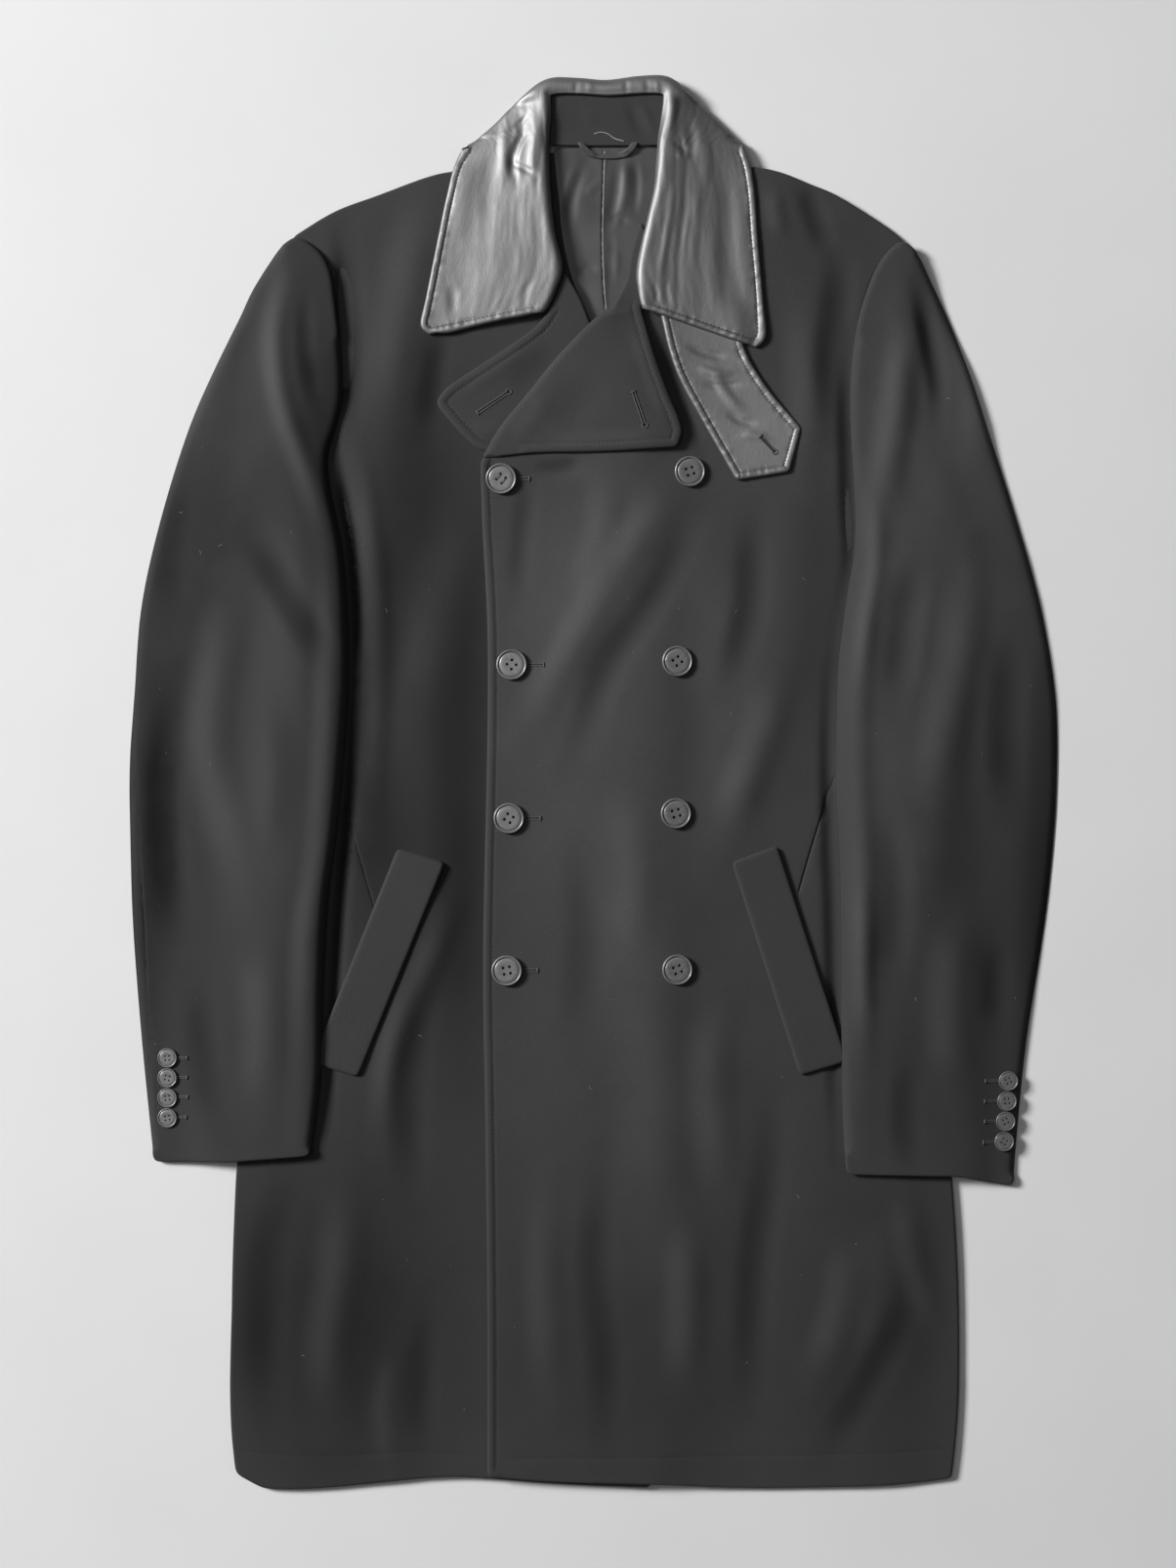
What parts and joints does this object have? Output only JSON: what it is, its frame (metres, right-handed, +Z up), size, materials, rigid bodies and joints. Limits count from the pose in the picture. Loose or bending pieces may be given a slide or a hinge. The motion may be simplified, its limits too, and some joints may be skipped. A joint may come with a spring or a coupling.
{
  "type": "car coat",
  "caption": "Men's double-breasted wool twill car coat with a turned-down leather collar, a leather throat latch and slanted welt pockets, laid flat face up.",
  "frame": {"origin": "on the surface that the coat lies on, below the middle of its outline seen from above", "axes": "+Y from the hem to the collar, +X to the wearer's left sleeve, +Z up off the surface"},
  "size_m": [0.6673, 1.0143, 0.0185],
  "materials": {
    "twill": "matt wool twill with a short nap",
    "leather": "smooth leather with a soft gloss and a fine grain",
    "satin": "dark lining with a low satin sheen",
    "horn": "polished, with a raised rim"
  },
  "bodies": {
    "root": {"back": "twill", "button_left_bottom": "horn", "button_left_lower": "horn", "button_left_top": "horn", "button_left_upper": "horn", "button_right_bottom": "horn", "button_right_lower": "horn", "button_right_top": "horn", "button_right_upper": "horn", "collar": "leather", "cuff_button_left_1": "horn", "cuff_button_left_2": "horn", "cuff_button_left_3": "horn", "cuff_button_left_4": "horn", "cuff_button_right_1": "horn", "cuff_button_right_2": "horn", "cuff_button_right_3": "horn", "cuff_button_right_4": "horn", "front_left": "twill", "front_right": "twill", "hanger_loop": "satin", "lapel_left": "twill", "lapel_right": "twill", "lining_back": "satin", "neck_band": "twill", "pocket_welt_left": "twill", "pocket_welt_right": "twill", "sleeve_top_left": "twill", "sleeve_top_right": "twill", "sleeve_under_left": "twill", "sleeve_under_right": "twill", "throat_latch": "leather"}
  },
  "joints": []
}
